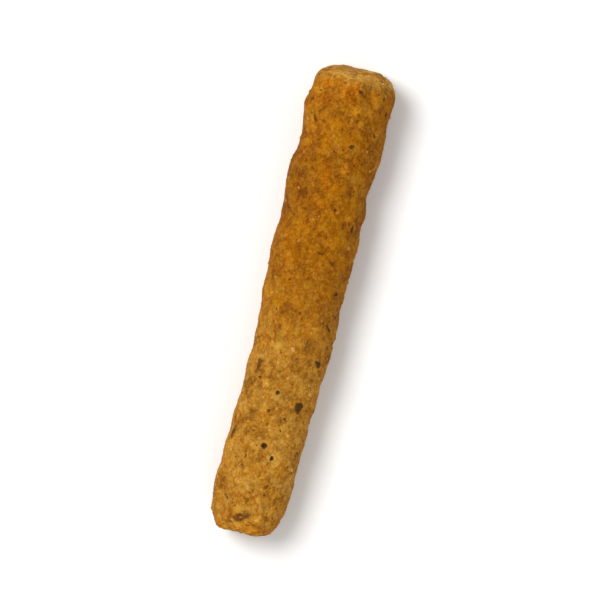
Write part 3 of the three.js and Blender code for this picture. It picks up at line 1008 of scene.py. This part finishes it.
def addFlakes():
    t, turn, lift, base, faces, tint, edge = [], [], [], [], [], [], []
    found = listFlakes()
    middles = fineRise(*np.array([flake[1:3] for flake in found]).T)[0]
    for (thing, atT, atTurn, long, wide, proud, spin, ripple, shade, cover), middle in zip(found, middles):
        places, heights, edges = flakeRings(thing, long, wide, proud, ripple)
        along = places[:, 0] * math.cos(spin) - places[:, 1] * math.sin(spin)
        across = places[:, 0] * math.sin(spin) + places[:, 1] * math.cos(spin)
        faces += ringFaces(flakes["corners"], len(flakes["rings"]) + 1, sum(map(len, t)))
        t.append(atT + along / mmPerShare)
        turn.append(atTurn - across / np.maximum(1, outlineAt(atT)[1]))
        lift.append(heights)
        base.append(np.full(len(heights), middle))
        tint.append(np.full(len(edges), shade))
        edge.append(np.where(edges == 0, cover[0], edges * cover[1]))
    t, turn = np.concatenate(t), np.concatenate(turn)
    clings = flakes["clings"]
    ground = clings * fineRise(t, turn)[0] + (1 - clings) * np.concatenate(base)
    points = skinAt(t, turn, np.concatenate(lift) + ground)
    points[:, 2] = restOnTray(points[:, 2] + form["axisHeight"])
    values = {"tint": np.concatenate(tint), "edge": np.concatenate(edge), "toast": toastAt(points)}
    piece = addPiece("herb_flakes", points, faces, flakeMaterial, values)
    print("herb flakes:", len(found))


addFlakes()


# Grits of nut and seed, and crumbs of dough: uneven grains, partly sunk. Proud is the share left out.
grits = {
    "kinds": [
        {"first": 2000, "count": 36, "radius": (0.34, 0.56), "proud": 0.3, "bareBelow": 40},
        {"first": 21000, "count": 120, "radius": (0.16, 0.34), "proud": 0.24, "bareBelow": 14},
    ],
    "firstClear": 2900,
    "clearProud": 0.2,
    "clearTint": 0.95,
    "clear": [  # the palest of the upper side: along X, across Y, radius
        (-14.6, -1.4, 0.5),
        (-12.3, 1.1, 0.4),
        (-15.1, -5.7, 0.45),
        (-24.8, -0.5, 0.42),
        (-25.0, -4.0, 0.4),
        (-31.2, -6.3, 0.5),
    ],
}
crumbs = {
    "kinds": [
        {"first": 3000, "count": 8, "radius": (0.6, 0.95), "proud": 0.22, "bareBelow": 40},
        {"first": 31000, "count": 120, "radius": (0.2, 0.4), "proud": 0.16, "bareBelow": 20},
    ],
}
grainForm = {
    "bumps": {"size": 0.9, "by": 0.5},
    "facets": {"size": 0.45, "by": 0.16},
    "long": (0.85, 1.3),  # times the radius
    "wide": (0.75, 1),
    "high": 0.85,
}


def unitGrain():
    shape = bmesh.new()
    bmesh.ops.create_icosphere(shape, subdivisions=2, radius=1)
    points = np.array([vertex.co[:] for vertex in shape.verts])
    faces = [tuple(vertex.index for vertex in face.verts) for face in shape.faces]
    shape.free()
    return points, faces


grainPoints, grainFaces = unitGrain()


def grainShape(thing, radius):
    bumps, facets = grainForm["bumps"], grainForm["facets"]
    uneven = 1 + noiseOver(grainPoints + thing, bumps["size"], 0) * bumps["by"]
    uneven += noiseOver(grainPoints - thing, facets["size"], 7) * facets["by"]
    long, wide = pick(grainForm["long"], thing, 6), pick(grainForm["wide"], thing, 7)
    scale = np.array([long, wide, grainForm["high"]])
    return grainPoints * uneven[:, None] * scale * radius


seatSteps = (0.004, 0.08)  # along the outline and round it, to each side, that a seat is levelled over


def seatsFor(t, turn):  # the skin's points there, and frames with Z outwards and X along the stick
    ground = fineRise(t, turn)[0]
    origin = skinAt(t, turn, ground)
    along = skinAt(t + seatSteps[0], turn) - skinAt(t - seatSteps[0], turn)
    across = skinAt(t, turn + seatSteps[1]) - skinAt(t, turn - seatSteps[1])
    out = np.cross(across, along)
    out /= np.linalg.norm(out, axis=1)[:, None]
    along /= np.linalg.norm(along, axis=1)[:, None]
    return origin, along, np.cross(out, along), out


# Each grain is its number, its place, its radius, its share out of the dough and its tint
def listGrains(sort):
    grains = []
    for thing, (x, y, radius) in enumerate(sort.get("clear", []), sort.get("firstClear", 0)):
        grains.append((thing, *placeSeenAt(x, y), radius, sort["clearProud"], sort["clearTint"]))
    for kind in sort["kinds"]:
        for thing, t, turn in spreadPlaces(kind):
            radius = pick(kind["radius"], thing, 4)
            if isClearOfTray(t, turn, radius):
                grains.append((thing, t, turn, radius, kind["proud"], chance(thing, 10) ** 2))
    return grains


def scatterGrains(name, sort, material):
    grains = listGrains(sort)
    seats = seatsFor(*np.array([grain[1:3] for grain in grains]).T)
    points, faces, tint = [], [], []
    for (thing, _, _, radius, proud, shade), origin, x, y, z in zip(grains, *seats):
        shape = grainShape(thing, radius)
        shape[:, 2] += grainForm["high"] * radius * (2 * proud - 1)
        spin = math.pi * chance(thing, 5)
        xSpun = x * math.cos(spin) + y * math.sin(spin)
        ySpun = y * math.cos(spin) - x * math.sin(spin)
        placed = origin + shape[:, :1] * xSpun + shape[:, 1:2] * ySpun + shape[:, 2:] * z
        placed[:, 2] = np.maximum(placed[:, 2] + form["axisHeight"], 0)
        first = len(points) * len(grainPoints)
        faces += [tuple(first + corner for corner in face) for face in grainFaces]
        points.append(placed)
        tint.append(np.full(len(placed), shade))
    allPoints = np.concatenate(points)
    values = {"hollow": np.zeros(len(allPoints)), "toast": toastAt(allPoints), **blotsAt(allPoints)}
    piece = addPiece(name, allPoints, faces, material, {"tint": np.concatenate(tint), **values})
    print(name + ":", len(grains))


scatterGrains("grits", grits, gritMaterial)
scatterGrains("crumbs", crumbs, doughMaterial)


# A plain pale floor and soft studio light from the upper left of the picture
studio = {
    "floor": {"size": 3.0, "drop": 0.00003, "roughness": 0.9, "gloss": 0.1},  # the drop is from the stick
    "floorColour": (0.9, 0.9, 0.895, 1.0),
    "world": 0.55,
    "lightColour": (1.0, 0.99, 0.975),
    "key": {"right": -0.3, "up": 0.2, "height": 0.6, "size": 0.4, "power": 4.2},
    "fill": {"right": 0.2, "up": -0.5, "height": 0.3, "size": 0.5, "power": 0.9},
}


def addLight(name, settings):
    data = bpy.data.lights.new(name, "AREA")
    data.shape = "DISK"
    data.size = settings["size"]
    data.energy = settings["power"]
    data.color = studio["lightColour"]
    light = bpy.data.objects.new(name, data)
    place = pictureRight * settings["right"] + pictureUp * settings["up"]
    place[2] = settings["height"]
    light.location = place
    aim = -place / np.linalg.norm(place)
    light.rotation_euler = (math.acos(-aim[2]), 0, math.atan2(aim[1], aim[0]) - math.pi / 2)
    bpy.context.scene.collection.objects.link(light)


def addStudio():
    size, z = studio["floor"]["size"], -studio["floor"]["drop"]
    corners = [(-size, -size, z), (size, -size, z), (size, size, z), (-size, size, z)]
    mesh = bpy.data.meshes.new("floor")
    mesh.from_pydata(corners, [], [(0, 1, 2, 3)])
    floor = bpy.data.objects.new("floor", mesh)
    bpy.context.scene.collection.objects.link(floor)
    material, _, shader = newMaterial("floor")
    shader.inputs["Base Color"].default_value = studio["floorColour"]
    shader.inputs["Roughness"].default_value = studio["floor"]["roughness"]
    shader.inputs["Specular IOR Level"].default_value = studio["floor"]["gloss"]
    mesh.materials.append(material)
    addLight("key light", studio["key"])
    addLight("fill light", studio["fill"])

    world = bpy.data.worlds.new("studio")
    world.use_nodes = True
    background = world.node_tree.nodes["Background"]
    background.inputs["Color"].default_value = (1, 1, 1, 1)
    background.inputs["Strength"].default_value = studio["world"]
    bpy.context.scene.world = world
    bpy.context.scene.view_settings.view_transform = "Standard"


addStudio()
print("studio made")
